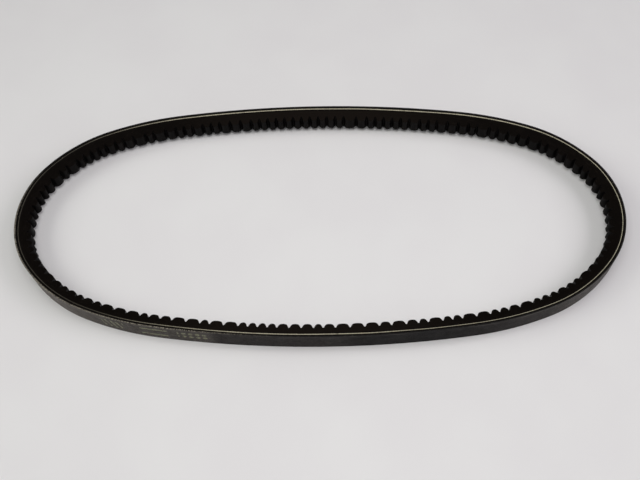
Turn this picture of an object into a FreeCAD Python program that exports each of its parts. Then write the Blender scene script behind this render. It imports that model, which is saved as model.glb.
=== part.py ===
import FreeCAD, Part
import math
import os
import Sketcher

# A raw-edge cogged V belt, 13 x 8 mm in section and 775 mm round the outside.
#
# The belt lies on one side edge as a closed oval. X runs along the oval, Y across it and Z up,
# across the belt's width. The origin is the middle of the oval, on the surface that it lies on.
# "Depth" is measured from the flat back, which faces out all round, towards the middle.
#
# The oval is four tangent arcs in each quarter. Every layer keeps the same centres, so a line at
# any depth is an exact parallel of the back, and each layer is one section swept round the loop.

DOC = FreeCAD.newDocument("v_belt")
SHEET = DOC.addObject("Spreadsheet::Sheet", "sheet")

SIZES = {
    # section of the belt
    "top_width": 13.0,
    "half_wedge_angle": 20.0,
    "section_height": 8.0,
    # depths at which the layers meet
    "back_face": 0.0,
    "ply_joint": 0.35,
    "cushion_face": 0.7,
    "cord_depth": 1.6,
    "compression_face": 2.5,
    # cord
    "cord_radius": 0.5,
    "cord_turns": 11.0,
    # quarter of the oval along the back: radii, and the directions in which they change
    "end_radius": 50.0,
    "shoulder_radius": 78.0,
    "flank_radius": 165.0,
    "side_radius": 570.6,
    "end_angle": 38.5,
    "shoulder_angle": 68.0,
    "flank_angle": 82.0,
    # notch between two cogs
    "notch_depth": 2.4,
    "notch_root_radius": 0.35,
    "notch_half_angle": 20.0,
    "cog_corner_radius": 1.2,
    # cog pitches along the back
    "short_pitch": 4.87,
    "middle_pitch": 6.07,
    "long_pitch": 7.26,
    "first_notch": 459.5,
}

# The cogs differ in pitch, so that they don't sing at one note. These are their short, middle and
# long pitches in order: along the -Y side, round the +X end, along the +Y side, round the -X end.
COG_ORDER = (
    "MSLLLSMMLLSLLSSSSMMMSMLLLMLMSLSSLLSSMLSSSMS"
    "SLMMSMMSMMMMS"
    "MMSMMMMSLMMMSLSMMMSSMSSSSSMLSSSSSSSSSSSMMMSSMSSMLSLMSMSSSSLSLMSS"
    "MSMLMSSMSMLMSMS"
)

# How far a notch's cutter runs past the surfaces that it cuts
CUTTER_OVERRUN = 1.0
# Angle at which the rounded corner of a cog meets its flat tip, how far under the tip the
# corner's arc stops, and how far the cutter then runs on at that angle
CORNER_MEETS_TIP = math.radians(10.0)
CORNER_BELOW_TIP = 0.01
RUN_OUT = 0.34

TAN_WEDGE = "tan(sheet.half_wedge_angle)"
EDGE_TURN_Z = f"sheet.cord_depth * {TAN_WEDGE}"
CORD_PITCH = f"(sheet.top_width - 2 * {EDGE_TURN_Z}) / (sheet.cord_turns - 1)"
HALF_LENGTH = (
    "sheet.end_radius"
    " + (sheet.side_radius - sheet.flank_radius) * cos(sheet.flank_angle)"
    " + (sheet.flank_radius - sheet.shoulder_radius) * cos(sheet.shoulder_angle)"
    " + (sheet.shoulder_radius - sheet.end_radius) * cos(sheet.end_angle)"
)


def fill_sheet():
    """Write every driving size into the spreadsheet, under its own name."""
    for row, (alias, size) in enumerate(SIZES.items(), start=1):
        SHEET.set(f"A{row}", alias)
        SHEET.set(f"B{row}", str(size))
        SHEET.setAlias(f"B{row}", alias)
    DOC.recompute()


fill_sheet()

WEDGE = math.radians(SHEET.half_wedge_angle)
WIDTH = SHEET.top_width
CORD_Z0 = SHEET.cord_depth * math.tan(WEDGE)
CORD_STEP = (WIDTH - 2 * CORD_Z0) / (SHEET.cord_turns - 1)
CORD_TURNS = int(SHEET.cord_turns)


# ---------------------------------------------------------------- the oval

RADII = (SHEET.end_radius, SHEET.shoulder_radius, SHEET.flank_radius, SHEET.side_radius)
TURNS = tuple(
    math.radians(angle)
    for angle in (0.0, SHEET.end_angle, SHEET.shoulder_angle, SHEET.flank_angle, 90.0)
)


def direction(angle):
    """Unit vector in the plane of the loop."""
    return FreeCAD.Vector(math.cos(angle), math.sin(angle), 0)


def quarter_centres():
    """Centres of the four arcs of the first quarter, from the end to the side.

    The end arc's centre is on the X axis and the side arc's on the Y axis, and each step from
    one centre to the next runs along the direction in which the two arcs meet.
    """
    steps = [
        direction(TURNS[i + 1]) * (RADII[i] - RADII[i + 1])
        for i in range(3)
    ]
    side_to_end = steps[0] + steps[1] + steps[2]
    end_centre = FreeCAD.Vector(-side_to_end.x, 0, 0)
    centres = [end_centre]
    for step in steps:
        centres.append(centres[-1] + step)
    return centres


CENTRES = quarter_centres()


def loop_arcs():
    """Every arc of the back line as (radius, centre, from angle, to angle), once round."""
    arcs = []
    for quarter in range(4):
        x_sign = 1 if quarter in (0, 3) else -1
        y_sign = 1 if quarter in (0, 1) else -1
        order = range(4) if x_sign == y_sign else reversed(range(4))
        for i in order:
            centre = FreeCAD.Vector(x_sign * CENTRES[i].x, y_sign * CENTRES[i].y, 0)
            if x_sign == y_sign:
                start, end = TURNS[i], TURNS[i + 1]
            else:
                start, end = math.pi / 2 - TURNS[i + 1], math.pi / 2 - TURNS[i]
            offset = quarter * math.pi / 2
            arcs.append((RADII[i], centre, start + offset, end + offset))
    return arcs


LOOP_ARCS = loop_arcs()
LOOP_LENGTH = sum(radius * (end - start) for radius, _, start, end in LOOP_ARCS)


def loop_place(travel, depth):
    """Point at a depth below the back, and its outward direction, a distance along the back."""
    travel = travel % LOOP_LENGTH
    for radius, centre, start, end in LOOP_ARCS:
        length = radius * (end - start)
        if travel <= length:
            break
        travel -= length
    angle = start + travel / radius
    return centre + direction(angle) * (radius - depth), angle


# ---------------------------------------------------------------- sketches

START, END, CENTRE = 1, 2, 3
X_AXIS, Y_AXIS = -1, -2


def plane_of(body, role):
    """One of the body's own origin planes."""
    return next(item for item in body.Origin.OriginFeatures if item.Role == role)


def add_sketch(body, name, role):
    sketch = body.newObject("Sketcher::SketchObject", name)
    sketch.AttachmentSupport = [(plane_of(body, role), "")]
    sketch.MapMode = "FlatFace"
    return sketch


def bind(sketch, constraint, expression):
    """Add a constraint whose size the spreadsheet drives."""
    index = sketch.addConstraint(constraint)
    sketch.setExpression(f"Constraints[{index}]", expression)


def bind_point(sketch, item, point, place):
    """Hold a point of a section sketch at a (depth, height) place, each a size and its expression."""
    (depth, depth_expression), (height, height_expression) = place
    bind(sketch, Sketcher.Constraint("DistanceX", item, point, -depth), f"-({depth_expression})")
    bind(sketch, Sketcher.Constraint("DistanceY", item, point, height), height_expression)


def quarter_path(body):
    """The back line of the first quarter, from the end of the oval to the middle of its side."""
    sketch = add_sketch(body, "back_line", "XY_Plane")
    for i in range(4):
        circle = Part.Circle(CENTRES[i], FreeCAD.Vector(0, 0, 1), RADII[i])
        sketch.addGeometry(Part.ArcOfCircle(circle, TURNS[i], TURNS[i + 1]))
    for i in range(3):
        sketch.addConstraint(Sketcher.Constraint("Tangent", i, END, i + 1, START))
    for item, point, axis in ((0, CENTRE, X_AXIS), (0, START, X_AXIS), (3, CENTRE, Y_AXIS), (3, END, Y_AXIS)):
        sketch.addConstraint(Sketcher.Constraint("PointOnObject", item, point, axis))
    for i, name in enumerate(("end_radius", "shoulder_radius", "flank_radius", "side_radius")):
        bind(sketch, Sketcher.Constraint("Radius", i, RADII[i]), f"sheet.{name}")
    spans = (
        "sheet.end_angle",
        "sheet.shoulder_angle - sheet.end_angle",
        "sheet.flank_angle - sheet.shoulder_angle",
    )
    for i, span in enumerate(spans):
        bind(sketch, Sketcher.Constraint("Angle", i, TURNS[i + 1] - TURNS[i]), f"({span}) * 1 deg")
    return sketch


def section_sketch(body, name):
    """A sketch across the belt at the end of the oval, with its own X = -depth and Y = height."""
    sketch = add_sketch(body, name, "XZ_Plane")
    sketch.setExpression(".AttachmentOffset.Base.x", HALF_LENGTH)
    return sketch


def wall_place(alias, upper):
    """Where the sidewall crosses a named depth, on the lower or the upper edge of the belt."""
    depth = getattr(SHEET, alias)
    height = depth * math.tan(WEDGE)
    expression = f"sheet.{alias} * {TAN_WEDGE}"
    if upper:
        height = WIDTH - height
        expression = f"sheet.top_width - {expression}"
    return (depth, f"sheet.{alias}"), (height, expression)


def turn_place(turn):
    """Middle of a cord turn's section, counted from 0 at the lower edge."""
    height = CORD_Z0 + turn * CORD_STEP
    expression = f"{EDGE_TURN_Z} + {turn} * {CORD_PITCH}"
    return (SHEET.cord_depth, "sheet.cord_depth"), (height, expression)


def point_at(place):
    (depth, _), (height, _) = place
    return FreeCAD.Vector(-depth, height, 0)


def add_line(sketch, first, last):
    return sketch.addGeometry(Part.LineSegment(point_at(first), point_at(last)))


def join(sketch, first, first_point, second, second_point):
    sketch.addConstraint(Sketcher.Constraint("Coincident", first, first_point, second, second_point))


# ---------------------------------------------------------------- ring-shaped sub-parts

def sweep_round(body, section):
    """Sweep a section along the first quarter, and mirror it to the other three."""
    path = quarter_path(body)
    quarter = body.newObject("PartDesign::AdditivePipe", "quarter")
    quarter.Profile = section
    quarter.Spine = path
    whole = body.newObject("PartDesign::MultiTransform", "whole_loop")
    mirrors = []
    for name, role in (("end_to_end", "YZ_Plane"), ("side_to_side", "XZ_Plane")):
        mirror = body.newObject("PartDesign::Mirrored", name)
        mirror.MirrorPlane = (plane_of(body, role), [""])
        mirrors.append(mirror)
    whole.Originals = [quarter]
    whole.Transformations = mirrors
    body.Tip = whole


def new_body(name):
    body = DOC.addObject("PartDesign::Body", name)
    body.Label = name
    return body


def plain_layer(name, outer_alias, inner_alias):
    """A layer with flat faces, between two named depths."""
    body = new_body(name)
    sketch = section_sketch(body, "section")
    corners = (
        wall_place(outer_alias, False),
        wall_place(inner_alias, False),
        wall_place(inner_alias, True),
        wall_place(outer_alias, True),
    )
    for i in range(4):
        add_line(sketch, corners[i], corners[(i + 1) % 4])
    for i in range(4):
        join(sketch, i, END, (i + 1) % 4, START)
        bind_point(sketch, i, START, corners[i])
    sweep_round(body, sketch)
    return body


def cord_turn(turn):
    """One turn of the tensile cord. The sidewalls slice the two edge turns in half."""
    body = new_body(f"tensile_cord_turn_{turn + 1:02d}")
    sketch = section_sketch(body, "section")
    middle = turn_place(turn)
    radius = SHEET.cord_radius
    circle = Part.Circle(point_at(middle), FreeCAD.Vector(0, 0, 1), radius)
    if 0 < turn < CORD_TURNS - 1:
        sketch.addGeometry(circle)
    else:
        # the sketch's X runs towards the back, so the lower sidewall slopes down along it
        upper = turn > 0
        start = math.pi + WEDGE if upper else -WEDGE
        arc = Part.ArcOfCircle(circle, start, start + math.pi)
        sketch.addGeometry(arc)
        sketch.addGeometry(Part.LineSegment(arc.EndPoint, arc.StartPoint))
        join(sketch, 0, END, 1, START)
        join(sketch, 0, START, 1, END)
        sketch.addConstraint(Sketcher.Constraint("PointOnObject", 0, CENTRE, 1))
        bind(
            sketch,
            Sketcher.Constraint("DistanceX", 0, START, arc.StartPoint.x),
            f"-sheet.cord_depth {'-' if upper else '+'} sheet.cord_radius * cos(sheet.half_wedge_angle)",
        )
    bind_point(sketch, 0, CENTRE, middle)
    bind(sketch, Sketcher.Constraint("Radius", 0, radius), "sheet.cord_radius")
    sweep_round(body, sketch)
    return body


def groove_span(turn, towards_back):
    """Angles between which a cord turn's circle is the edge of a grooved layer."""
    if towards_back:
        start, end = -math.pi / 2, math.pi / 2
        walls = (-WEDGE, WEDGE)
    else:
        start, end = math.pi / 2, 3 * math.pi / 2
        walls = (math.pi - WEDGE, math.pi + WEDGE)
    if turn == 0:
        return (walls[0], end) if towards_back else (start, walls[0])
    if turn == CORD_TURNS - 1:
        return (start, walls[1]) if towards_back else (walls[1], end)
    return start, end


def grooved_layer(name, face_alias):
    """A layer from a named flat face to the middle of the cords, grooved where they lie in it."""
    body = new_body(name)
    sketch = section_sketch(body, "section")
    towards_back = getattr(SHEET, face_alias) < SHEET.cord_depth
    turns = range(CORD_TURNS) if towards_back else reversed(range(CORD_TURNS))
    grooves = []
    for turn in turns:
        place = turn_place(turn)
        circle = Part.Circle(point_at(place), FreeCAD.Vector(0, 0, 1), SHEET.cord_radius)
        groove = Part.ArcOfCircle(circle, *groove_span(turn, towards_back))
        item = sketch.addGeometry(groove)
        bind_point(sketch, item, CENTRE, place)
        bind(sketch, Sketcher.Constraint("Radius", item, SHEET.cord_radius), "sheet.cord_radius")
        grooves.append((item, groove))

    # flats between neighbouring grooves, at the depth of the cords' middles
    for (item, groove), (next_item, next_groove) in zip(grooves, grooves[1:]):
        flat = sketch.addGeometry(Part.LineSegment(groove.EndPoint, next_groove.StartPoint))
        join(sketch, item, END, flat, START)
        join(sketch, flat, END, next_item, START)
        for point in (START, END):
            bind(
                sketch,
                Sketcher.Constraint("DistanceX", flat, point, -SHEET.cord_depth),
                "-sheet.cord_depth",
            )

    # sidewalls, and the flat face that closes the section
    first_corner = wall_place(face_alias, not towards_back)
    last_corner = wall_place(face_alias, towards_back)
    first_item, first_groove = grooves[0]
    last_item, last_groove = grooves[-1]
    first_wall = sketch.addGeometry(Part.LineSegment(point_at(first_corner), first_groove.StartPoint))
    last_wall = sketch.addGeometry(Part.LineSegment(last_groove.EndPoint, point_at(last_corner)))
    face = add_line(sketch, last_corner, first_corner)
    join(sketch, first_wall, END, first_item, START)
    join(sketch, last_item, END, last_wall, START)
    join(sketch, last_wall, END, face, START)
    join(sketch, face, END, first_wall, START)
    sketch.addConstraint(Sketcher.Constraint("PointOnObject", first_item, CENTRE, first_wall))
    sketch.addConstraint(Sketcher.Constraint("PointOnObject", last_item, CENTRE, last_wall))
    bind_point(sketch, face, START, last_corner)
    bind_point(sketch, face, END, first_corner)
    sweep_round(body, sketch)
    return body


# ---------------------------------------------------------------- cogs

def notch_cutter():
    """Solid that cuts one notch: its X points outwards from the cog tips, and its Y along the loop.

    The section is a round root, two straight flanks and the rounded corners of the cogs beside it.
    The corners leave the tips at a small angle, so that the cut has no grazing faces.
    """
    root_radius = SHEET.notch_root_radius
    corner_radius = SHEET.cog_corner_radius
    half_angle = math.radians(SHEET.notch_half_angle)
    to_flank = FreeCAD.Vector(math.sin(half_angle), math.cos(half_angle), 0)
    along_flank = FreeCAD.Vector(-math.cos(half_angle), math.sin(half_angle), 0)

    root = FreeCAD.Vector(SHEET.notch_depth, 0, 0)
    root_centre = root - FreeCAD.Vector(root_radius, 0, 0)
    root_end = root_centre + to_flank * root_radius
    corner_x = corner_radius * math.cos(CORNER_MEETS_TIP) + CORNER_BELOW_TIP
    flank_length = (root_end.x + corner_radius * to_flank.x - corner_x) / -along_flank.x
    corner_start = root_end + along_flank * flank_length
    corner_centre = corner_start + to_flank * corner_radius

    def on_corner(angle_from_tip):
        return corner_centre - direction(angle_from_tip) * corner_radius

    corner_middle = on_corner((CORNER_MEETS_TIP + math.pi / 2 - half_angle) / 2)
    corner_end = on_corner(CORNER_MEETS_TIP)
    run_out = FreeCAD.Vector(-math.sin(CORNER_MEETS_TIP), math.cos(CORNER_MEETS_TIP), 0) * RUN_OUT
    lip = corner_end + run_out
    lip_above = FreeCAD.Vector(-CUTTER_OVERRUN, lip.y, 0)

    def mirrored(point):
        return FreeCAD.Vector(point.x, -point.y, 0)

    half = [root_end, corner_start, corner_middle, corner_end, lip, lip_above]
    other = [mirrored(point) for point in half]
    edges = [Part.Arc(other[0], root, half[0]).toShape()]
    for side in (half, other):
        edges.append(Part.makeLine(side[0], side[1]))
        edges.append(Part.Arc(side[1], side[2], side[3]).toShape())
        edges.append(Part.makeLine(side[3], side[4]))
        edges.append(Part.makeLine(side[4], side[5]))
    edges.append(Part.makeLine(half[5], other[5]))
    outline = Part.Wire(Part.__sortEdges__(edges))
    outline.translate(FreeCAD.Vector(0, 0, -CUTTER_OVERRUN))
    return Part.Face(outline).extrude(FreeCAD.Vector(0, 0, WIDTH + 2 * CUTTER_OVERRUN))


def notch_travels():
    """Distance along the back to each notch, once round the belt."""
    pitches = {"S": SHEET.short_pitch, "M": SHEET.middle_pitch, "L": SHEET.long_pitch}
    order = [pitches[letter] for letter in COG_ORDER]
    # the pitches are stretched by the fraction of a percent that closes them on the belt's length
    stretch = LOOP_LENGTH / sum(order)
    travels = []
    travel = SHEET.first_notch
    for pitch in order:
        travels.append(travel)
        travel += pitch * stretch
    return travels


def cogged_layer(name, outer_alias):
    """The inner layer, from a named depth to the cog tips, with every notch cut straight across."""
    blank = plain_layer(f"{name}_blank", outer_alias, "section_height")
    cutter = notch_cutter()
    z_axis = FreeCAD.Vector(0, 0, 1)
    cutters = []
    for travel in notch_travels():
        tip, angle = loop_place(travel, SHEET.section_height)
        placed = cutter.copy()
        placed.Placement = FreeCAD.Placement(tip, FreeCAD.Rotation(z_axis, math.degrees(angle)))
        cutters.append(placed)
    notches = DOC.addObject("Part::Feature", "notches")
    notches.Shape = Part.makeCompound(cutters)
    cogged = DOC.addObject("Part::Cut", name)
    cogged.Label = name
    cogged.Base = blank
    cogged.Tool = notches
    return cogged


# ---------------------------------------------------------------- the belt

def build_belt():
    parts = [
        plain_layer("back_fabric_outer_ply", "back_face", "ply_joint"),
        plain_layer("back_fabric_inner_ply", "ply_joint", "cushion_face"),
        grooved_layer("upper_cushion_rubber", "cushion_face"),
        grooved_layer("lower_cushion_rubber", "compression_face"),
        cogged_layer("cogged_compression_rubber", "compression_face"),
    ]
    parts += [cord_turn(turn) for turn in range(CORD_TURNS)]
    DOC.recompute()
    return parts


def check(parts):
    for item in DOC.Objects:
        if "Invalid" in item.State or "Error" in item.State:
            raise RuntimeError(f"{item.Name} failed: {item.State}")
    for part in parts:
        if part.Shape.isNull() or not part.Shape.isValid():
            raise RuntimeError(f"{part.Label} has no valid shape")
        if len(part.Shape.Solids) != 1:
            raise RuntimeError(f"{part.Label} is {len(part.Shape.Solids)} solids")


def export(parts):
    os.makedirs("parts", exist_ok=True)
    for part in parts:
        part.Shape.exportStep(f"parts/{part.Label}.step")
        print(f"{part.Label}: {part.Shape.Volume:.1f} mm3, {len(part.Shape.Faces)} faces")
    print(f"outside length {LOOP_LENGTH:.1f} mm, {len(notch_travels())} cogs")


PARTS = build_belt()
check(PARTS)
export(PARTS)
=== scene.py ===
import math

import bpy
import numpy as np
from mathutils import Matrix, Vector


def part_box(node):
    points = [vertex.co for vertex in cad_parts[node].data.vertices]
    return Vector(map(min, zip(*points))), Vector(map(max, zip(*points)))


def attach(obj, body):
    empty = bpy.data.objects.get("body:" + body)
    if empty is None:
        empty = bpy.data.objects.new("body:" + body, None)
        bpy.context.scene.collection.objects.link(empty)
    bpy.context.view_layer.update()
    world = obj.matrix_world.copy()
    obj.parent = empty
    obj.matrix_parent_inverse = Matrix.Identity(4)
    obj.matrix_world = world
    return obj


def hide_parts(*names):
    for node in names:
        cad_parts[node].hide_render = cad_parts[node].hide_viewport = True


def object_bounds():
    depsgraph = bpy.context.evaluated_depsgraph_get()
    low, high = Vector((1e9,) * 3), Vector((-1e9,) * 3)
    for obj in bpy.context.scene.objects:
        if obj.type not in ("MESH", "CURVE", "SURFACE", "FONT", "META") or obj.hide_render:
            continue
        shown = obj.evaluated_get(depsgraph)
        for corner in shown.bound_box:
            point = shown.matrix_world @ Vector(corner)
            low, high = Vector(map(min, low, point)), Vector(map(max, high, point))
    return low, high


# The looks of a raw-edge cogged V belt, lying on its side as a relaxed oval. Lengths are in metres,
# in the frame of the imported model: X along the oval, Y across it, Z up through the belt's width.
#
# "Travel" is a distance round the loop along the back, from the +X end towards +Y. "Depth" is
# measured from the back towards the middle of the loop, and "height" up from the lower sidewall.
# The line of the back, the layers' depths and the places of the notches are read from the nodes.

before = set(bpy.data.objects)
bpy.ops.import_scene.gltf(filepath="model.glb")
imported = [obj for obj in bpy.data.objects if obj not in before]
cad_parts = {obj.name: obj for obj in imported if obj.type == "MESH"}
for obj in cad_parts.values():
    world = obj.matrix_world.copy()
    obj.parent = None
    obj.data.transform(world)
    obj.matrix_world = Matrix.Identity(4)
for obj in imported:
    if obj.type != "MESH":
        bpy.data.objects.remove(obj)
CAD_LOW, CAD_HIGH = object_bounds()

MM = 0.001


# ---------------------------------------------------------------- the loop, read from the frame

def node_points(name):
    """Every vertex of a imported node, as an array of rows."""
    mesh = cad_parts[name].data
    flat = np.zeros(len(mesh.vertices) * 3)
    mesh.vertices.foreach_get("co", flat)
    return flat.reshape(-1, 3)


def back_corners():
    """Corners of the back's upper edge in order round the loop, from the +X end."""
    level_with_top = 0.001 * MM
    closest_together = 0.05 * MM
    points = node_points("back_fabric_outer_ply")
    edge = points[points[:, 2] > CAD_HIGH[2] - level_with_top][:, :2]
    edge = edge[np.argsort(np.arctan2(edge[:, 1], edge[:, 0]))]
    gaps = np.linalg.norm(edge - np.roll(edge, 1, axis=0), axis=1)
    edge = edge[gaps > closest_together]
    return np.roll(edge, -int(np.argmax(edge[:, 0])), axis=0)


def smooth_slopes(points, steps):
    """Slopes of the smooth closed curve through points that are these steps apart."""
    count = len(points)
    before = np.roll(steps, 1)
    rows = np.arange(count)
    matrix = np.zeros((count, count))
    matrix[rows, rows] = 2 * (before + steps)
    matrix[rows, (rows - 1) % count] = steps
    matrix[rows, (rows + 1) % count] = before
    rates = (np.roll(points, -1, axis=0) - points) / steps[:, None]
    pull = 3 * (steps[:, None] * np.roll(rates, 1, axis=0) + before[:, None] * rates)
    return np.linalg.solve(matrix, pull)


class Loop:
    """The back line as a smooth closed curve, looked up by travel."""

    SAMPLES_PER_CORNER = 60

    def __init__(self, corners):
        following = np.roll(corners, -1, axis=0)
        steps = np.linalg.norm(following - corners, axis=1)
        slopes = smooth_slopes(corners, steps)
        part = (np.arange(self.SAMPLES_PER_CORNER) / self.SAMPLES_PER_CORNER)[None, :, None]
        leaving = (slopes * steps[:, None])[:, None]
        arriving = (np.roll(slopes, -1, axis=0) * steps[:, None])[:, None]
        line = (
            (2 * part**3 - 3 * part**2 + 1) * corners[:, None]
            + (part**3 - 2 * part**2 + part) * leaving
            + (3 * part**2 - 2 * part**3) * following[:, None]
            + (part**3 - part**2) * arriving
        ).reshape(-1, 2)
        chords = np.linalg.norm(np.roll(line, -1, axis=0) - line, axis=1)
        tangents = np.roll(line, -1, axis=0) - np.roll(line, 1, axis=0)
        tangents /= np.linalg.norm(tangents, axis=1)[:, None]
        self.length = chords.sum()
        self.travels = np.concatenate([[0], np.cumsum(chords)])
        self.line = np.vstack([line, line[:1]])
        self.headings = np.unwrap(np.arctan2(tangents[:, 1], tangents[:, 0]))
        self.headings = np.append(self.headings, self.headings[0] + 2 * math.pi)

    def places(self, travels):
        """Points on the back, and the outward directions there, at these travels."""
        travels = np.asarray(travels) % self.length
        points = np.stack([np.interp(travels, self.travels, c) for c in self.line.T], axis=-1)
        headings = np.interp(travels, self.travels, self.headings)
        return points, np.stack([np.sin(headings), -np.cos(headings)], axis=-1)

    def radii(self, travels):
        """Radius of the back's bend at these travels."""
        reach = 1.5 * MM
        ahead = np.interp((travels + reach) % self.length, self.travels, self.headings)
        behind = np.interp((travels - reach) % self.length, self.travels, self.headings)
        turn = (ahead - behind) % (2 * math.pi)
        return 2 * reach / turn

    def travels_and_depths(self, points):
        """Where points lie on the belt: the travel of the nearest place on the back, and the depth."""
        travels = np.empty(len(points))
        depths = np.empty(len(points))
        for i, point in enumerate(points[:, :2]):
            away = point - self.line[:-1]
            nearest = int(np.argmin(np.einsum("ij,ij->i", away, away)))
            heading = self.headings[nearest]
            ahead = away[nearest] @ (math.cos(heading), math.sin(heading))
            travels[i] = self.travels[nearest] + ahead
            depths[i] = math.hypot(*away[nearest])
        return travels, depths


LOOP = Loop(back_corners())


def depth_of_face(node):
    """Depth of a node's outer face."""
    return CAD_HIGH[0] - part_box(node)[1].x


WIDTH = CAD_HIGH[2] - CAD_LOW[2]
FLOOR_HEIGHT = CAD_LOW[2]
PLY_JOINT = depth_of_face("back_fabric_inner_ply")
CUSHION_FACE = depth_of_face("upper_cushion_rubber")
COMPRESSION_FACE = depth_of_face("cogged_compression_rubber")
WEDGE_SLOPE = (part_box("back_fabric_inner_ply")[0].z - FLOOR_HEIGHT) / PLY_JOINT
CORD_LOW, CORD_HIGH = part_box("tensile_cord_turn_06")
CORD_RADIUS = (CORD_HIGH.z - CORD_LOW.z) / 2
CORD_DEPTH = CAD_HIGH[0] - CORD_HIGH.x + CORD_RADIUS


def notch_places():
    """Tip depth and root depth of the cogs, and the travel at the middle of each notch."""
    root_reach = 0.3 * MM
    least_gap = 1.5 * MM
    points = node_points("cogged_compression_rubber")
    travels, depths = LOOP.travels_and_depths(points)
    tip = depths.max()
    root = np.percentile(depths[depths > COMPRESSION_FACE + root_reach], 1)
    in_roots = np.sort(travels[np.abs(depths - root) < root_reach] % LOOP.length)
    gaps = np.diff(in_roots, append=in_roots[0] + LOOP.length)
    after_a_gap = int(np.flatnonzero(gaps > least_gap)[0]) + 1
    in_roots = np.concatenate([in_roots[after_a_gap:], in_roots[:after_a_gap] + LOOP.length])
    ends = np.flatnonzero(np.diff(in_roots, append=math.inf) > least_gap)
    starts = np.concatenate([[0], ends[:-1] + 1])
    return tip, root, (in_roots[starts] + in_roots[ends]) / 2


COG_TIP, NOTCH_ROOT, NOTCHES = notch_places()


# ---------------------------------------------------------------- mesh tools

def ring_faces(rings, points):
    """Faces that join each ring of points to the next one, all round."""
    ring, point = np.meshgrid(np.arange(rings), np.arange(points), indexing="ij")
    next_ring, next_point = (ring + 1) % rings, (point + 1) % points
    corners = [
        ring * points + point,
        next_ring * points + point,
        next_ring * points + next_point,
        ring * points + next_point,
    ]
    return np.stack(corners, axis=-1).reshape(-1, 4)


def girths(depths, heights):
    """Way round each ring to each of its points, and once round, in millimetres."""
    closed_depths = np.hstack([depths, depths[:, :1]])
    closed_heights = np.hstack([heights, heights[:, :1]])
    steps = np.hypot(np.diff(closed_depths, axis=1), np.diff(closed_heights, axis=1))
    return np.hstack([np.zeros((len(depths), 1)), np.cumsum(steps, axis=1)]) / MM


def belt_map(travels, girth):
    """Travel and girth in millimetres at the corners of every face of ring_faces()."""
    along = np.append(travels, travels[0] + LOOP.length) / MM
    ahead = np.roll(girth, -1, axis=0)
    corners = np.empty((girth.shape[0], girth.shape[1] - 1, 4, 2))
    corners[:, :, (0, 3), 0] = along[:-1, None, None]
    corners[:, :, (1, 2), 0] = along[1:, None, None]
    corners[:, :, 0, 1] = girth[:, :-1]
    corners[:, :, 1, 1] = ahead[:, :-1]
    corners[:, :, 2, 1] = ahead[:, 1:]
    corners[:, :, 3, 1] = girth[:, 1:]
    return corners.ravel()


def cylinder_map(travels, girth):
    """Travel and girth in millimetres at every point, wrapped on a cylinder as long round."""
    radius = LOOP.length / (2 * math.pi) / MM
    height = girth[:, :-1]
    angle = np.broadcast_to((travels / LOOP.length * 2 * math.pi)[:, None], height.shape)
    return np.stack([radius * np.cos(angle), radius * np.sin(angle), height], axis=-1).ravel()


def sweep(name, travels, depths, heights, side_kinds, materials, wear_and_highlight):
    """A closed piece: a ring of section points at each travel, joined to the next ring.

    Depths and heights hold a row for each ring. side_kinds picks a material for the side that
    starts at each section point. The UV map "belt" holds travel and girth, and the attribute
    "wrap" holds the same two on a cylinder, so that it has no seam. The attribute
    "wear_and_highlight" is there for the materials to read: wear, smeared rubber, and painted
    highlight on edges.
    """
    rings, points = depths.shape
    places, outward = LOOP.places(travels)
    corners = np.empty((rings, points, 3))
    corners[..., :2] = places[:, None] - outward[:, None] * depths[..., None]
    corners[..., 2] = FLOOR_HEIGHT + heights
    mesh = bpy.data.meshes.new(name)
    mesh.from_pydata(corners.reshape(-1, 3).tolist(), [], ring_faces(rings, points).tolist())

    girth = girths(depths, heights)
    worn = np.broadcast_to(wear_and_highlight, depths.shape).ravel()
    mesh.uv_layers.new(name="belt").data.foreach_set("uv", belt_map(travels, girth))
    wrap = mesh.attributes.new("wrap", "FLOAT_VECTOR", "POINT")
    wrap.data.foreach_set("vector", cylinder_map(travels, girth))
    mesh.attributes.new("wear_and_highlight", "FLOAT", "POINT").data.foreach_set("value", worn)

    for material in materials:
        mesh.materials.append(material)
    mesh.polygons.foreach_set("material_index", np.tile(side_kinds, rings))
    return finish_mesh(mesh)


def finish_mesh(mesh):
    """Shades a mesh smoothly except over its sharp edges, and puts it in the scene."""
    sharpest_smooth = math.radians(40)
    mesh.polygons.foreach_set("use_smooth", np.ones(len(mesh.polygons), bool))
    mesh.set_sharp_from_angle(angle=sharpest_smooth)
    mesh.validate()
    mesh.update()
    piece = bpy.data.objects.new(mesh.name, mesh)
    bpy.context.scene.collection.objects.link(piece)
    return piece


def even_travels(step):
    """Travels all round the loop, about a step apart."""
    count = round(LOOP.length / step)
    return np.arange(count) * (LOOP.length / count)


# Places in a swept piece's list of materials
OUTER, SIDES, INNER = 0, 1, 2

# A rounded corner's middle point lies this share of the corner's size in from the sharp corner
CORNER_EASE = 0.3


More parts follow.
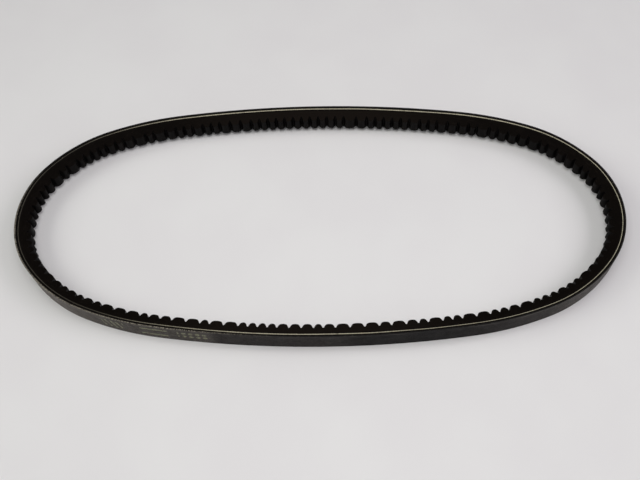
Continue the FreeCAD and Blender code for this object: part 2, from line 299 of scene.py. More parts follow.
def wedge_section(near, far, corner, outer_points, side_points, inner_points):
    """Rings of the belt's section between two depths, with its four corners rounded.

    near and far are columns with a row for each ring. The points go up the outer face, in along
    the upper sidewall, down the inner face and out along the lower sidewall.
    """
    eased = CORNER_EASE * corner
    up = np.linspace(0, 1, outer_points)
    down = np.linspace(1, 0, inner_points)
    inwards = np.linspace(0, 1, side_points)

    low_near = near * WEDGE_SLOPE + corner
    low_far = far * WEDGE_SLOPE + corner
    outer_heights = low_near + (WIDTH - 2 * low_near) * up
    inner_heights = low_far + (WIDTH - 2 * low_far) * down
    side_depths = near + corner + (far - near - 2 * corner) * inwards
    side_heights = side_depths * WEDGE_SLOPE
    near_turn = (near + eased) * WEDGE_SLOPE + eased
    far_turn = (far - eased) * WEDGE_SLOPE + eased

    depths = np.hstack([
        near + np.zeros(outer_points), near + eased, side_depths, far - eased,
        far + np.zeros(inner_points), far - eased, side_depths[:, ::-1], near + eased,
    ])
    heights = np.hstack([
        outer_heights, WIDTH - near_turn, WIDTH - side_heights, WIDTH - far_turn,
        inner_heights, far_turn, side_heights[:, ::-1], near_turn,
    ])
    # with a corner point before and after them, a wall's points make three more sides than points
    wall = [SIDES] * (side_points + 3)
    kinds = [OUTER] * (outer_points - 1) + wall + [INNER] * (inner_points - 1) + wall
    return depths, heights, np.array(kinds)


def smoothstep(low, high, value):
    """Eases from 0 to 1 while the value goes from low to high."""
    share = np.clip((value - low) / (high - low), 0, 1)
    return share * share * (3 - 2 * share)


def soft_noise(travels, wavelength, seed):
    """Seeded random values round the loop, smooth over a wavelength, between -1 and 1."""
    knots = round(LOOP.length / wavelength)
    values = np.random.default_rng(seed).uniform(-1, 1, knots)
    place = travels / LOOP.length * knots
    left = np.floor(place).astype(int)
    share = smoothstep(0, 1, place - left)
    return values[left % knots] * (1 - share) + values[(left + 1) % knots] * share


# ---------------------------------------------------------------- material tools

class Paint:
    """A material, with short names for adding nodes that feed its shader."""

    def __init__(self, name, specular):
        self.material = bpy.data.materials.new(name)
        self.material.use_nodes = True
        self.tree = self.material.node_tree
        self.shader = self.tree.nodes["Principled BSDF"]
        self.shader.inputs["Specular IOR Level"].default_value = specular

    def node(self, kind, inputs=None, **settings):
        """A new node with these settings, its inputs fed."""
        made = self.tree.nodes.new("ShaderNode" + kind)
        for setting, value in settings.items():
            setattr(made, setting, value)
        for socket, value in (inputs or {}).items():
            self.feed(made.inputs[socket], value)
        return made

    def feed(self, socket, value):
        """Links a node's output to a socket, or sets the socket to a plain value."""
        if isinstance(value, bpy.types.NodeSocket):
            self.tree.links.new(value, socket)
        else:
            socket.default_value = value

    def math(self, operation, *values):
        return self.node("Math", dict(enumerate(values)), operation=operation).outputs[0]

    def times(self, first, second):
        return self.math("MULTIPLY", first, second)

    def plus(self, first, second):
        return self.math("ADD", first, second)

    def minus(self, first, second):
        return self.math("SUBTRACT", first, second)

    def times_plus(self, value, factor, addend):
        """The value times the factor, plus the addend."""
        return self.math("MULTIPLY_ADD", value, factor, addend)

    def place(self):
        """Position in millimetres."""
        position = self.node("TexCoord").outputs["Object"]
        return self.scaled(position, (1 / MM, 1 / MM, 1 / MM))

    def scaled(self, vector, factors):
        made = self.node("VectorMath", {0: vector, 1: factors}, operation="MULTIPLY")
        return made.outputs["Vector"]

    def wrap(self, along=1, across=1):
        """The swept pieces' seamless travel and girth in millimetres, squeezed by two factors."""
        attribute = self.node("Attribute", attribute_name="wrap").outputs["Vector"]
        return self.scaled(attribute, (along, along, across))

    def travel_and_girth(self):
        uv = self.node("UVMap", uv_map="belt").outputs["UV"]
        parts = self.node("SeparateXYZ", {0: uv})
        return parts.outputs["X"], parts.outputs["Y"]

    def value_of(self, attribute):
        return self.node("Attribute", attribute_name=attribute).outputs["Fac"]

    def noise(self, vector, size, detail=3, roughness=0.55):
        """Noise between 0 and 1 whose blotches are about a size, in millimetres."""
        inputs = {"Vector": vector, "Scale": 1 / size, "Detail": detail, "Roughness": roughness}
        return self.node("TexNoise", inputs).outputs["Fac"]

    def step(self, value, low, high, to_low=0.0, to_high=1.0):
        """Eases from to_low to to_high while the value goes from low to high."""
        inputs = {
            "Value": value, "From Min": low, "From Max": high, "To Min": to_low, "To Max": to_high,
        }
        made = self.node("MapRange", inputs, interpolation_type="SMOOTHSTEP")
        return made.outputs["Result"]

    def mix(self, share, colour, other):
        """Goes from the colour to the other one while the share goes from 0 to 1."""
        made = self.node("Mix", data_type="RGBA")
        self.feed(made.inputs["Factor"], share)
        self.feed(made.inputs["A"], self.opaque(colour))
        self.feed(made.inputs["B"], self.opaque(other))
        return made.outputs["Result"]

    @staticmethod
    def opaque(colour):
        return colour if isinstance(colour, bpy.types.NodeSocket) else (*colour, 1)

    def finish(self, colour, roughness, *bumps):
        """Feeds the shader. Each bump is a height between 0 and 1 with its size in metres."""
        self.feed(self.shader.inputs["Base Color"], self.opaque(colour))
        self.feed(self.shader.inputs["Roughness"], roughness)
        normal = None
        for height, size in bumps:
            bump = self.node("Bump", {"Height": height, "Distance": size})
            if normal is not None:
                self.feed(bump.inputs["Normal"], normal)
            normal = bump.outputs["Normal"]
        if normal is not None:
            self.feed(self.shader.inputs["Normal"], normal)
        return self.material


# Colours are linear red, green and blue.
RUBBER_BLACK = (0.0021, 0.0012, 0.0007)
# grey of scuffs, also used as painted sheen and painted edge highlight on the sidewalls
RUBBER_SCUFFED = (0.0090, 0.0064, 0.0047)
MOULDED_BLACK = (0.0016, 0.0011, 0.0009)
MOULDED_BLOOM = (0.0085, 0.0070, 0.0066)
CHOPPED_FIBRE = (0.027, 0.020, 0.0135)
CLOTH_BLACK = (0.0040, 0.0036, 0.0037)
CLOTH_WORN = (0.0405, 0.0340, 0.0368)
# grey of dust, also used as painted sheen on the back
CLOTH_DUST_AND_SHEEN = (0.208, 0.185, 0.166)
CUT_THREAD = (0.0075, 0.0064, 0.0048)
# pale thread, also the colour of the painted highlight on the cut edge
CUT_THREAD_LIGHT = (0.290, 0.265, 0.210)
CORD_CREAM = (0.470, 0.440, 0.325)
CORD_DIP = (0.170, 0.138, 0.088)
PRINT_GREEN = (0.300, 0.305, 0.190)
TABLE_WHITE = (0.76, 0.755, 0.75)
TABLE_MOTTLE = (0.74, 0.73, 0.73)


def loop_wave(paint, travel, wave):
    """SINE or COSINE of the turn made round the loop: the cosine is 1 at +X and -1 at -X."""
    return paint.math(wave, paint.times(travel, 2 * math.pi * MM / LOOP.length))


def ground_rubber():
    """Ground sidewall rubber: matt, streaked along the belt, with ends of chopped fibre.
    A painted sheen greys the oval's long sides, and wear with a painted highlight lightens its edges.
    """
    fibre_spacing = 0.42
    paint = Paint("ground_rubber", specular=0.05)
    place = paint.place()
    streaks = paint.noise(paint.wrap(along=0.06), size=0.25, detail=4)
    grain = paint.noise(place, size=0.12, detail=3)
    blotches = paint.noise(place, size=9, detail=2)
    fibre_cells = paint.node("TexVoronoi", {"Vector": place, "Scale": 1 / fibre_spacing})
    fibre = paint.step(fibre_cells.outputs["Distance"], 0.20, 0.10)
    chosen = paint.step(paint.noise(place, size=1.1, detail=1), 0.52, 0.60)
    scuffs = paint.times(paint.step(streaks, 0.50, 0.75), paint.step(blotches, 0.35, 0.65))
    colour = paint.mix(scuffs, RUBBER_BLACK, RUBBER_SCUFFED)
    colour = paint.mix(paint.times(fibre, chosen), colour, CHOPPED_FIBRE)
    # edges by the cog faces lightened by wear and a painted highlight
    colour = paint.mix(paint.times(paint.value_of("wear_and_highlight"), 0.35), colour, RUBBER_SCUFFED)
    # painted sheen: the long sides of the oval are made a little greyer than its ends, standing in for
    # the light the grinding streaks catch there
    travel, _ = paint.travel_and_girth()
    side_on = loop_wave(paint, travel, "SINE")
    long_side_sheen = paint.step(paint.math("ABSOLUTE", side_on), 0.75, 1.0)
    colour = paint.mix(paint.times(long_side_sheen, 0.6), colour, RUBBER_SCUFFED)
    roughness = paint.step(grain, 0.3, 0.7, 0.66, 0.86)
    return paint.finish(colour, roughness, (grain, 0.03 * MM), (streaks, 0.02 * MM))


def moulded_rubber():
    """Moulded cog faces: satin, with a faint grey bloom, and edges lightened by wear and a painted
    highlight.
    """
    paint = Paint("moulded_rubber", specular=0.05)
    place = paint.place()
    bloom = paint.noise(place, size=5, detail=4)
    grain = paint.noise(place, size=0.2, detail=3)
    colour = paint.mix(paint.step(bloom, 0.42, 0.72), MOULDED_BLACK, MOULDED_BLOOM)
    # edges lightened by wear and a painted highlight
    colour = paint.mix(paint.times(paint.value_of("wear_and_highlight"), 0.45), colour, MOULDED_BLOOM)
    roughness = paint.step(bloom, 0.35, 0.7, 0.42, 0.62)
    return paint.finish(colour, roughness, (grain, 0.018 * MM))


def cushion_rubber():
    """Soft rubber round the cords, cut flush with the sidewall."""
    paint = Paint("cushion_rubber", specular=0.08)
    place = paint.place()
    grain = paint.noise(place, size=0.15, detail=4)
    colour = paint.mix(paint.step(grain, 0.5, 0.8), RUBBER_BLACK, RUBBER_SCUFFED)
    return paint.finish(colour, paint.step(grain, 0.3, 0.7, 0.68, 0.85), (grain, 0.03 * MM))


def weave(paint, first, second):
    """Height of a plain weave, between 0 and 1, whose threads are one unit apart."""
    crowns = []
    for across, along, start in ((first, second, 0.0), (second, first, 1.0)):
        thread = paint.math("FLOOR", across)
        from_middle = paint.times_plus(paint.math("FRACT", across), 2, -1)
        roundness = paint.minus(1, paint.math("POWER", paint.math("ABSOLUTE", from_middle), 2))
        phase = paint.plus(paint.plus(along, thread), start)
        over = paint.times_plus(paint.math("COSINE", paint.times(phase, math.pi)), 0.5, 0.5)
        crowns.append(paint.times(roundness, over))
    return paint.math("MAXIMUM", *crowns)


THREAD_SPACING = 0.62 * MM


def bias_threads(paint, travel, girth):
    """Thread counters of cloth cut at 45 degrees, a whole number of threads round the loop."""
    diagonal = THREAD_SPACING * math.sqrt(2)
    per_mm = round(LOOP.length / diagonal) / (LOOP.length / MM)
    along = paint.times(travel, per_mm)
    across = paint.times(girth, per_mm)
    return paint.plus(along, across), paint.minus(along, across)


# Worn marks printed on the back: where each group starts and ends along the travel, and where all
# of them start and end across the width, in millimetres
TICKS_SPAN = (473, 485)
RULES_SPAN = (494, 508)
DOTS_SPAN = (513, 529)
PRINT_LOW, PRINT_HIGH = 3.2, 10.2


def within(paint, value, low, high, blur=0.15):
    """1 while the value is between low and high, and 0 outside."""
    rising = paint.step(value, low - blur, low + blur)
    falling = paint.step(value, high - blur, high + blur, 1.0, 0.0)
    return paint.times(rising, falling)


def worn_print(paint, travel, girth, wear_noise):
    """Share of printed ink: slanted ticks, two rules and two rows of dots, mostly rubbed away."""
    tick_spacing = 3.1
    tick_slant = 0.35
    rule_width = 1.3
    dot_spacing = 3.5
    printed = within(paint, girth, PRINT_LOW, PRINT_HIGH)

    slanted = paint.times_plus(girth, tick_slant, travel)
    from_tick = paint.math("FRACT", paint.math("DIVIDE", slanted, tick_spacing))
    tick = within(paint, from_tick, 0.28, 0.66, blur=0.05)
    ticks = paint.times(paint.times(tick, printed), within(paint, travel, *TICKS_SPAN))

    low_rule = within(paint, girth, PRINT_LOW, PRINT_LOW + rule_width)
    high_rule = within(paint, girth, PRINT_HIGH - rule_width, PRINT_HIGH)
    rules = paint.times(paint.plus(low_rule, high_rule), within(paint, travel, *RULES_SPAN))

    across = paint.minus(paint.math("FRACT", paint.math("DIVIDE", travel, dot_spacing)), 0.5)
    up = paint.minus(paint.math("FRACT", paint.math("DIVIDE", girth, dot_spacing)), 0.5)
    squares = paint.plus(paint.math("POWER", across, 2), paint.math("POWER", up, 2))
    dot = paint.step(paint.math("SQRT", squares), 0.30, 0.36, 1.0, 0.0)
    dots = paint.times(paint.times(dot, printed), within(paint, travel, *DOTS_SPAN))

    ink = paint.plus(paint.plus(ticks, rules), dots)
    return paint.times(ink, paint.step(wear_noise, 0.36, 0.54))


# Stretch of the back that has been handled, and stretch darkened as painted shade, in millimetres of
# travel
HANDLED_SPAN = (400, 531)
PAINTED_SHADE_SPAN = (598, 705)


def cloth_dust_and_sheen(paint, travel, threads, patches, fine, painted_shade):
    """Share of grey dust and painted sheen: painted sheen at the loop's two ends, dust where the back
    has been handled.
    """
    # painted sheen: the loop's two ends get extra grey, standing in for the side lights grazing the
    # back there
    left_end_sheen, right_end_sheen, handled_dust = 0.72, 0.43, 0.60
    handled = within(paint, travel, *HANDLED_SPAN, blur=4)
    end_on = loop_wave(paint, travel, "COSINE")
    right_end = paint.step(end_on, 0.5, 1.0)
    left_end = paint.step(end_on, -0.7, -1.0)
    ends = paint.times_plus(left_end, left_end_sheen, paint.times(right_end, right_end_sheen))
    handled_dust_and_end_sheen = paint.times_plus(handled, handled_dust, ends)
    dusty = paint.times(paint.step(patches, 0.28, 0.74), paint.step(fine, 0.25, 0.65))
    dust_and_sheen = paint.times(handled_dust_and_end_sheen, paint.times_plus(dusty, 0.40, 0.32))
    # painted shade: less dust along the painted-shade stretch of the back
    base_dust_less_in_shade = paint.times_plus(painted_shade, -0.12, 0.15)
    dust_and_sheen = paint.times_plus(paint.plus(dusty, 0.4), base_dust_less_in_shade, dust_and_sheen)
    return paint.times(dust_and_sheen, paint.times_plus(threads, 0.5, 0.75))


def back_cloth():
    """Rubber-filled bias cloth: dark, crowns of the weave rubbed grey, dusty blotches, worn print.
    Painted sheen lightens the loop's ends, and painted shade darkens a stretch of the -Y side.
    """
    paint = Paint("back_cloth", specular=0.02)
    place = paint.place()
    travel, girth = paint.travel_and_girth()
    threads = weave(paint, *bias_threads(paint, travel, girth))
    blotches = paint.noise(place, size=6, detail=5, roughness=0.65)
    patches = paint.noise(place, size=2.2, detail=4, roughness=0.7)
    fine = paint.noise(place, size=0.5, detail=4, roughness=0.7)
    streaks = paint.noise(paint.wrap(along=0.04), size=0.6, detail=3)

    # painted shade: a stretch of the -Y side is kept darker, less rubbed and less dusty, standing in
    # for the dim light there
    painted_shade = within(paint, travel, *PAINTED_SHADE_SPAN, blur=8)
    rubbed = paint.times(paint.step(threads, 0.45, 0.95), paint.step(fine, 0.38, 0.62))
    rubbed = paint.times(rubbed, paint.times_plus(painted_shade, -0.5, 1))
    dust_and_sheen = cloth_dust_and_sheen(paint, travel, threads, patches, fine, painted_shade)
    near_upper_edge = paint.step(girth, 9.5, 12.5)
    edge_streaks = paint.times(near_upper_edge, paint.step(streaks, 0.55, 0.62))
    ink = worn_print(paint, travel, girth, paint.noise(place, size=0.9, detail=3))

    colour = paint.mix(paint.times(rubbed, 0.6), CLOTH_BLACK, CLOTH_WORN)
    colour = paint.mix(dust_and_sheen, colour, CLOTH_DUST_AND_SHEEN)
    colour = paint.mix(paint.times(edge_streaks, 0.35), colour, CLOTH_DUST_AND_SHEEN)
    colour = paint.mix(paint.times(ink, 0.85), colour, PRINT_GREEN)
    roughness = paint.step(blotches, 0.3, 0.7, 0.42, 0.58)
    paint.shader.inputs["Sheen Weight"].default_value = 0.06
    paint.shader.inputs["Sheen Roughness"].default_value = 0.35
    return paint.finish(colour, roughness, (threads, 0.045 * MM), (fine, 0.02 * MM))


def cut_cloth():
    """Cut edge of the back cloth: grey-brown thread ends, with a painted highlight near the loop's -X
    end.
    """
    paint = Paint("cut_cloth", specular=0.2)
    place = paint.place()
    thread_ends = paint.noise(paint.wrap(along=1.0, across=0.6), size=0.45, detail=2)
    grain = paint.noise(place, size=0.1, detail=3)
    # painted highlight along the cut edge near the loop's -X end
    edge_highlight = paint.value_of("wear_and_highlight")
    thread = paint.mix(edge_highlight, CUT_THREAD, CUT_THREAD_LIGHT)
    colour = paint.mix(paint.step(thread_ends, 0.40, 0.60), CLOTH_BLACK, thread)
    return paint.finish(colour, 0.8, (thread_ends, 0.06 * MM), (grain, 0.02 * MM))


def tensile_cord():
    """Sliced polyester cord: cream filaments, brown dip in the twist, smears of black rubber."""
    paint = Paint("tensile_cord", specular=0.25)
    place = paint.place()
    filaments = paint.noise(place, size=0.12, detail=3)
    smears = paint.noise(place, size=1.6, detail=4, roughness=0.7)
    cream = paint.mix(paint.step(filaments, 0.35, 0.65), CORD_CREAM, CORD_DIP)
    colour = paint.mix(paint.step(smears, 0.56, 0.72), cream, RUBBER_SCUFFED)
    return paint.finish(colour, 0.78, (filaments, 0.03 * MM))


def sliced_cord():
    """The edge turns of cord, whose attribute "wear" says how much rubber hides them."""
    twist_along, twist_across = 4.8, 3.2
    paint = Paint("sliced_cord", specular=0.25)
    travel, girth = paint.travel_and_girth()
    place = paint.place()
    filaments = paint.noise(place, size=0.12, detail=3)
    smears = paint.noise(place, size=1.3, detail=4, roughness=0.7)
    twist = paint.times_plus(girth, twist_across, paint.times(travel, twist_along))
    groove = paint.step(paint.math("SINE", twist), 0.2, 1.0)
    hidden = paint.value_of("wear_and_highlight")
    cream = paint.mix(paint.times(groove, 0.55), CORD_CREAM, CORD_DIP)
    cream = paint.mix(paint.times(paint.step(filaments, 0.45, 0.75), 0.4), cream, CORD_DIP)
    colour = paint.mix(paint.step(smears, 0.60, 0.74), cream, RUBBER_SCUFFED)
    colour = paint.mix(paint.times(hidden, 0.90), colour, RUBBER_SCUFFED)
    return paint.finish(colour, 0.78, (filaments, 0.03 * MM), (groove, -0.03 * MM))


# ---------------------------------------------------------------- pieces

MATERIALS = {
    "ground": ground_rubber(),
    "moulded": moulded_rubber(),
    "cushion": cushion_rubber(),
    "back": back_cloth(),
    "cut": cut_cloth(),
    "cord": tensile_cord(),
    "sliced": sliced_cord(),
}


def closeness(travels, place, full, none):
    """1 within one distance of a place round the loop, 0 beyond another."""
    away = np.abs(travels - place)
    return 1 - smoothstep(full, none, np.minimum(away, LOOP.length - away))


# Stretches of the loop, each as the travel at its middle and the distances from there at which it
# starts and ends fading: where the cloth's cut edge gets a painted highlight, where rubber is
# smeared over the sliced cords, much and little, and where the sidewall slices them thinner and
# further from the back
CUT_EDGE_HIGHLIGHT = (455 * MM, 50 * MM, 110 * MM)
SMEARED = (400 * MM, 60 * MM, 155 * MM)
SMEARED_A_LITTLE = (690 * MM, 50 * MM, 90 * MM)
THIN_SLICE = (725 * MM, 70 * MM, 130 * MM)
DEEP_SLICE = (450 * MM, 45 * MM, 100 * MM)


def nearest_notch(travels):
    """Distance from each travel to the middle of the nearest notch."""
    away = np.abs(travels[:, None] - NOTCHES[None, :])
    return np.minimum(away, LOOP.length - away).min(axis=1)


def make_back():
    """Outer ply of the back: it sinks a little over each notch and between the turns of cord."""
    notch_sink = 0.05 * MM
    notch_reach = 1.3 * MM
    cord_sink = 0.012 * MM
    wander = 0.03 * MM
    outer_points = 40
    travels = even_travels(0.7 * MM)
    near = np.zeros((len(travels), 1))
    depths, heights, kinds = wedge_section(
        near, near + PLY_JOINT, corner=0.08 * MM,
        outer_points=outer_points, side_points=3, inner_points=2,
    )
    outer = slice(0, outer_points)
    over_notch = np.exp(-((nearest_notch(travels) / notch_reach) ** 2))
    cord_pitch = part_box("tensile_cord_turn_07")[0].z - CORD_LOW.z
    cord_height = CORD_LOW.z + CORD_RADIUS - FLOOR_HEIGHT
    from_cord = (heights[:, outer] - cord_height) / cord_pitch
    between_cords = 0.5 - 0.5 * np.cos(2 * math.pi * from_cord)
    drift = 0.5 + 0.5 * soft_noise(travels, 14 * MM, seed=3)
    sink_along = notch_sink * over_notch + wander * drift
    depths[:, outer] += sink_along[:, None] + cord_sink * between_cords
    # painted highlight on the cloth's cut edge near the loop's -X end
    wear_and_highlight = closeness(travels, *CUT_EDGE_HIGHLIGHT)[:, None]
    piece = sweep(
        "back_cloth_outer", travels, depths, heights, kinds,
        [MATERIALS["back"], MATERIALS["cut"], MATERIALS["cut"]], wear_and_highlight,
    )
    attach(piece, "root")
    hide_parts("back_fabric_outer_ply")


def make_inner_ply():
    """Inner ply, trimmed a hair shorter than the outer one, so that its edge reads as a line."""
    trim = 0.05 * MM
    travels = even_travels(1.2 * MM)
    near = np.full((len(travels), 1), PLY_JOINT)
    far = np.full_like(near, CUSHION_FACE)
    depths, heights, kinds = wedge_section(
        near, far, corner=0.06 * MM, outer_points=2, side_points=3, inner_points=2
    )
    middle = WIDTH / 2
    heights = middle + (heights - middle) * (1 - trim / middle)
    # painted highlight on the ply's cut edge near the loop's -X end
    wear_and_highlight = 0.9 * closeness(travels, *CUT_EDGE_HIGHLIGHT)[:, None]
    piece = sweep(
        "back_cloth_inner", travels, depths, heights, kinds, [MATERIALS["cut"]] * 3, wear_and_highlight
    )
    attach(piece, "root")
    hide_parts("back_fabric_inner_ply")


# Outline of a notch, and how far a cog's domed crown would fall on its way to the notch's middle
NOTCH_ROOT_RADIUS = 0.35 * MM
NOTCH_HALF_ANGLE = math.radians(20)
COG_SHOULDER_RADIUS = 1.2 * MM
COG_CROWN = 0.8 * MM


def half_notch():
    """Points of half a notch from its middle to the cog's tip, as sideways distance and depth."""
    arc_points = 5
    root_turns = np.linspace(0, math.pi / 2 - NOTCH_HALF_ANGLE, arc_points)
    root_side = NOTCH_ROOT_RADIUS * np.sin(root_turns)
    root_depth = NOTCH_ROOT + NOTCH_ROOT_RADIUS * (1 - np.cos(root_turns))
    shoulder_depth = COG_TIP - COG_SHOULDER_RADIUS
    climb = (shoulder_depth - root_depth[-1]) * math.sin(NOTCH_HALF_ANGLE)
    shoulder_side = root_side[-1] + (COG_SHOULDER_RADIUS + climb) / math.cos(NOTCH_HALF_ANGLE)
    shoulder_turns = np.linspace(NOTCH_HALF_ANGLE, math.pi / 2, arc_points)
    tip_side = shoulder_side - COG_SHOULDER_RADIUS * np.cos(shoulder_turns)
    tip_depth = shoulder_depth + COG_SHOULDER_RADIUS * np.sin(shoulder_turns)
    return np.concatenate([root_side, tip_side]), np.concatenate([root_depth, tip_depth])


def from_cog_middle(travels):
    """0 at the middle of a cog, 1 at the middle of the notch on either side of it."""
    edges = np.append(NOTCHES, NOTCHES[0] + LOOP.length)
    wrapped = (travels - NOTCHES[0]) % LOOP.length + NOTCHES[0]
    cog = np.clip(np.searchsorted(edges, wrapped, side="right") - 1, 0, len(NOTCHES) - 1)
    middle = (edges[cog] + edges[cog + 1]) / 2
    return np.abs(wrapped - middle) / (edges[cog + 1] - edges[cog]) * 2


def cog_rings():
    """Travel, far depth, and edge wear with painted highlight, of each ring of the cogged rubber."""
    tip_rings = 5
    plain_edge_climb = 1.2 * MM
    side, depth = half_notch()
    side = np.concatenate([-side[:0:-1], side])
    depth = np.concatenate([depth[:0:-1], depth])
    travels, depths = [], []
    radii = LOOP.radii(NOTCHES)
    following = np.append(NOTCHES[1:], NOTCHES[0] + LOOP.length)
    for notch, after, radius in zip(NOTCHES, following, radii):
        along = radius * np.arctan2(side, radius - depth)
        travels.append(notch + along)
        depths.append(radius - np.hypot(radius - depth, side))
        reach = along[-1]
        travels.append(np.linspace(notch + reach, after - reach, tip_rings + 2)[1:-1])
        depths.append(np.full(tip_rings, COG_TIP))
    travels, depths = np.concatenate(travels), np.concatenate(depths)
    lift = (depths - NOTCH_ROOT) / (COG_TIP - NOTCH_ROOT)
    depths -= COG_CROWN * from_cog_middle(travels) ** 2 * np.clip(lift, 0, 1)
    return travels, depths, smoothstep(NOTCH_ROOT + plain_edge_climb, COG_TIP, depths)


def make_cogs():
    """Compression rubber: ground sidewalls, and moulded cogs on the inner face."""
    outer_points, side_points, inner_points = 2, 5, 8
    travels, far, wear_and_highlight = cog_rings()
    near = np.full((len(travels), 1), COMPRESSION_FACE)
    depths, heights, kinds = wedge_section(
        near, far[:, None], corner=0.09 * MM,
        outer_points=outer_points, side_points=side_points, inner_points=inner_points,
    )
    upper_edge = outer_points + 1 + side_points
    lower_edge = upper_edge + inner_points
    edge_points = np.zeros(depths.shape[1])
    edge_points[[upper_edge, upper_edge + 1, lower_edge, lower_edge + 1]] = 1
    # the section's edges next to the cog faces get wear and a painted highlight, more towards the cog
    # tips
    edge_wear_and_highlight = edge_points[None, :] * (0.4 + 0.6 * wear_and_highlight[:, None])
    piece = sweep(
        "cogged_rubber", travels, depths, heights, kinds,
        [MATERIALS["ground"], MATERIALS["ground"], MATERIALS["moulded"]],
        edge_wear_and_highlight,
    )
    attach(piece, "root")
    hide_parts("cogged_compression_rubber")


def make_sliced_cord(name, node, upper, seed):
    """An edge turn of the cord, sliced by the sidewall, with the bead of its twisted strands."""
    slant = math.atan(WEDGE_SLOPE)
    bulge = 0.09 * MM
    strand_spacing = 1.3 * MM
    stray = 0.07 * MM
    deeper = 0.4 * MM
    a_little = 0.12
    travels = even_travels(0.26 * MM)
    hidden = closeness(travels, *SMEARED) + a_little * closeness(travels, *SMEARED_A_LITTLE)
    fray = 0.5 + 0.5 * soft_noise(travels, 1.1 * MM, seed)
    thin = closeness(travels, *THIN_SLICE)
    # smeared rubber and a thin slice both narrow the strip of cord, and its edges are frayed
    half_width = CORD_RADIUS * (1 - 0.25 * hidden) * (1 - 0.3 * thin) * (0.42 + 0.13 * fray)
    wander = stray * soft_noise(travels, 17 * MM, seed + 1)
    wander += deeper * closeness(travels, *DEEP_SLICE)
    # seven points over the strip's crown, then three sunk behind the sidewall that close it
    across = np.linspace(-1, 1, 7)
    twist = travels[:, None] / strand_spacing * math.pi + across[None, :] * 0.9
    bead = 0.45 + 0.55 * np.abs(np.sin(twist))
    crown = bulge * (1 - across[None, :] ** 2) * bead * (1 - 0.6 * hidden[:, None])
    sunk = np.array([0.55, 0.9, 0.55])
    sideways = np.hstack([half_width[:, None] * across, half_width[:, None] * [0.8, 0, -0.8]])
    proud = np.hstack([crown, -half_width[:, None] * sunk])
    on_wall = CORD_DEPTH + wander[:, None] + sideways * math.cos(slant)
    depths = on_wall + proud * math.sin(slant)
    heights = on_wall * WEDGE_SLOPE - proud * math.cos(slant)
    if upper:
        heights = WIDTH - heights
    else:
        depths, heights = depths[:, ::-1], heights[:, ::-1]
    kinds = np.zeros(depths.shape[1], int)
    piece = sweep(name, travels, depths, heights, kinds, [MATERIALS["sliced"]], hidden[:, None])
    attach(piece, "root")
    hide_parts(node)


# Rings of a loose fibre: how far along it each one is, and how thick, as shares of the whole
FIBRE_RINGS = ((0, 1), (0.35, 0.9), (0.7, 0.6))
FIBRE_SIDES = 3


def fibre_points(root, lean, curl, wall, length, thickness):
    """Corners of each ring of a bent spike, and then its tip."""
    side = lean.cross(wall).normalized()
    other = lean.cross(side)
    points = []
    for share, width in FIBRE_RINGS:
        middle = root + (lean * share + curl * share * share) * length
        for corner in range(FIBRE_SIDES):
            turn = 2 * math.pi * corner / FIBRE_SIDES
            radial = side * math.cos(turn) + other * math.sin(turn)
            points.append(middle + radial * thickness * width)
    points.append(root + (lean + curl) * length)
    for point in points:
        point.z = max(point.z, FLOOR_HEIGHT)
    return points


def fibre_faces(first):
    """Faces of a bent spike whose points start at this one."""
    faces = []
    for ring in range(len(FIBRE_RINGS) - 1):
        start = first + FIBRE_SIDES * ring
        for corner in range(FIBRE_SIDES):
            here, following = start + corner, start + (corner + 1) % FIBRE_SIDES
            faces.append((here, following, following + FIBRE_SIDES, here + FIBRE_SIDES))
    last = first + FIBRE_SIDES * (len(FIBRE_RINGS) - 1)
    tip = last + FIBRE_SIDES
    for corner in range(FIBRE_SIDES):
        faces.append((last + corner, last + (corner + 1) % FIBRE_SIDES, tip))
    faces.append(tuple(reversed(range(first, first + FIBRE_SIDES))))
    return faces


def make_fibres(name, count, material, depth_range, length_range, thickness, seed):
    """Short loose fibres on both sidewalls, each a thin bent spike of three sides."""
    sinking = 0.04 * MM
    random = np.random.default_rng(seed)
    travels = random.uniform(0, LOOP.length, count)
    depths = random.uniform(*depth_range, count)
    upper = random.random(count) < 0.5
    lengths = random.uniform(*length_range, count)
    places, outward = LOOP.places(travels)
    points, faces = [], []
    for i in range(count):
        out = Vector((*outward[i], 0))
        up = Vector((0, 0, 1 if upper[i] else -1))
        along = Vector((0, 0, 1)).cross(out) * random.choice((-1, 1))
        wall = (up - out * WEDGE_SLOPE).normalized()
        height = depths[i] * WEDGE_SLOPE
        root = Vector((*places[i], 0)) - out * depths[i]
        root.z = FLOOR_HEIGHT + (WIDTH - height if upper[i] else height)
        root -= wall * sinking
        lean = along + wall * random.uniform(0.1, 0.45) + out * random.uniform(-0.2, 0.6)
        curl = wall * random.uniform(-0.35, 0.1) + out * random.uniform(-0.3, 0.3)
        faces += fibre_faces(len(points))
        points += fibre_points(root, lean.normalized(), curl, wall, lengths[i], thickness)
    mesh = bpy.data.meshes.new(name)
    mesh.from_pydata(points, [], faces)
    mesh.materials.append(material)
    piece = finish_mesh(mesh)
    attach(piece, "root")


def fibre_paint(name, colour, tip_colour):
    """Loose fibres, uneven in colour."""
    paint = Paint(name, specular=0.2)
    spread = paint.noise(paint.place(), size=2.5, detail=2)
    return paint.finish(paint.mix(paint.step(spread, 0.4, 0.6), colour, tip_colour), 0.8)


def dress(node, material):
    """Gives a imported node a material."""
    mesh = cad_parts[node].data
    mesh.materials.clear()
    mesh.materials.append(material)


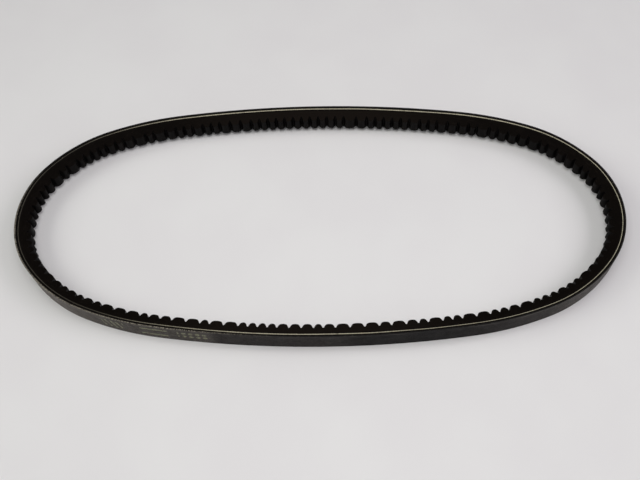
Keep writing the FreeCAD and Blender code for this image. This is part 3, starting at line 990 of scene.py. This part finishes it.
make_back()
make_inner_ply()
make_cogs()
make_sliced_cord("sliced_cord_upper", "tensile_cord_turn_11", upper=True, seed=11)
make_sliced_cord("sliced_cord_lower", "tensile_cord_turn_01", upper=False, seed=12)
make_fibres(
    "cloth_edge_fibres", 1500,
    fibre_paint("loose_cloth_fibre", CUT_THREAD, CUT_THREAD_LIGHT),
    depth_range=(0.05 * MM, CUSHION_FACE), length_range=(0.2 * MM, 0.7 * MM),
    thickness=0.016 * MM, seed=21,
)
make_fibres(
    "cord_edge_fibres", 900,
    fibre_paint("loose_cord_fibre", CORD_CREAM, CORD_DIP),
    depth_range=(CORD_DEPTH - 0.4 * MM, CORD_DEPTH + 0.4 * MM), length_range=(0.2 * MM, 0.6 * MM),
    thickness=0.014 * MM, seed=22,
)
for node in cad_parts:
    if node.startswith("tensile_cord"):
        dress(node, MATERIALS["cord"])
    elif node.endswith("cushion_rubber"):
        dress(node, MATERIALS["cushion"])


# ---------------------------------------------------------------- stage

def make_floor():
    """A white table under the belt, so faintly mottled that it isn't quite one colour."""
    table_side = 6.0
    paint = Paint("floor_paint", specular=0.3)
    mottle = paint.noise(paint.place(), size=60, detail=2)
    colour = paint.mix(paint.step(mottle, 0.3, 0.7), TABLE_MOTTLE, TABLE_WHITE)
    bpy.ops.mesh.primitive_plane_add(size=table_side, location=(0, 0, FLOOR_HEIGHT))
    floor = bpy.context.object
    floor.name = "floor"
    floor.data.materials.append(paint.finish(colour, 0.55))


def make_camera():
    """The camera looks down on the loop at 60 degrees, from its -Y side, a little turned and tilted."""
    elevation = math.radians(60.4)
    turn = math.radians(4.60)
    roll = math.radians(-4.58)
    distance = 430.95 * MM
    aim_sideways = 1.07 * MM
    aim_forwards = -9.75 * MM
    focal_length_in_widths = 1.2565

    turned = Matrix.Rotation(turn, 3, "Z")
    aim = turned @ Vector((aim_sideways, aim_forwards, FLOOR_HEIGHT))
    away = turned @ Vector((0, -math.cos(elevation), math.sin(elevation)))
    camera = bpy.data.cameras.new("camera")
    camera.lens = camera.sensor_width * focal_length_in_widths
    holder = bpy.data.objects.new("camera", camera)
    bpy.context.scene.collection.objects.link(holder)
    facing = away.to_track_quat("Z", "Y")
    holder.matrix_world = (
        Matrix.Translation(aim + away * distance)
        @ facing.to_matrix().to_4x4()
        @ Matrix.Rotation(roll, 4, "Z")
    )
    bpy.context.scene.camera = holder


def add_softbox(name, place, side, watts, colour):
    """A square area light that faces the middle of the belt."""
    lamp = bpy.data.lights.new(name, "AREA")
    lamp.shape = "SQUARE"
    lamp.size = side
    lamp.energy = watts
    lamp.color = colour
    holder = bpy.data.objects.new(name, lamp)
    holder.location = place
    holder.rotation_euler = Vector(place).to_track_quat("Z", "Y").to_euler()
    bpy.context.scene.collection.objects.link(holder)


def make_light():
    """A dim, even room, a small softbox above the belt and a large one high on each side."""
    world = bpy.data.worlds.new("world")
    world.use_nodes = True
    room = world.node_tree.nodes["Background"].inputs
    room["Color"].default_value = (0.93, 0.94, 0.97, 1)
    room["Strength"].default_value = 0.19
    bpy.context.scene.world = world
    add_softbox(
        "overhead_softbox", (0.0, -0.10, 0.55), side=0.40, watts=1.35, colour=(1.0, 0.99, 0.985)
    )
    add_softbox(
        "right_softbox", (1.60, 0.0, 1.15), side=1.2, watts=16.8, colour=(1.0, 0.95, 1.0)
    )
    add_softbox(
        "left_softbox", (-1.60, -0.05, 1.15), side=1.2, watts=14.3, colour=(0.99, 1.0, 0.94)
    )


make_floor()
make_camera()
make_light()
bpy.context.scene.view_settings.view_transform = "Standard"
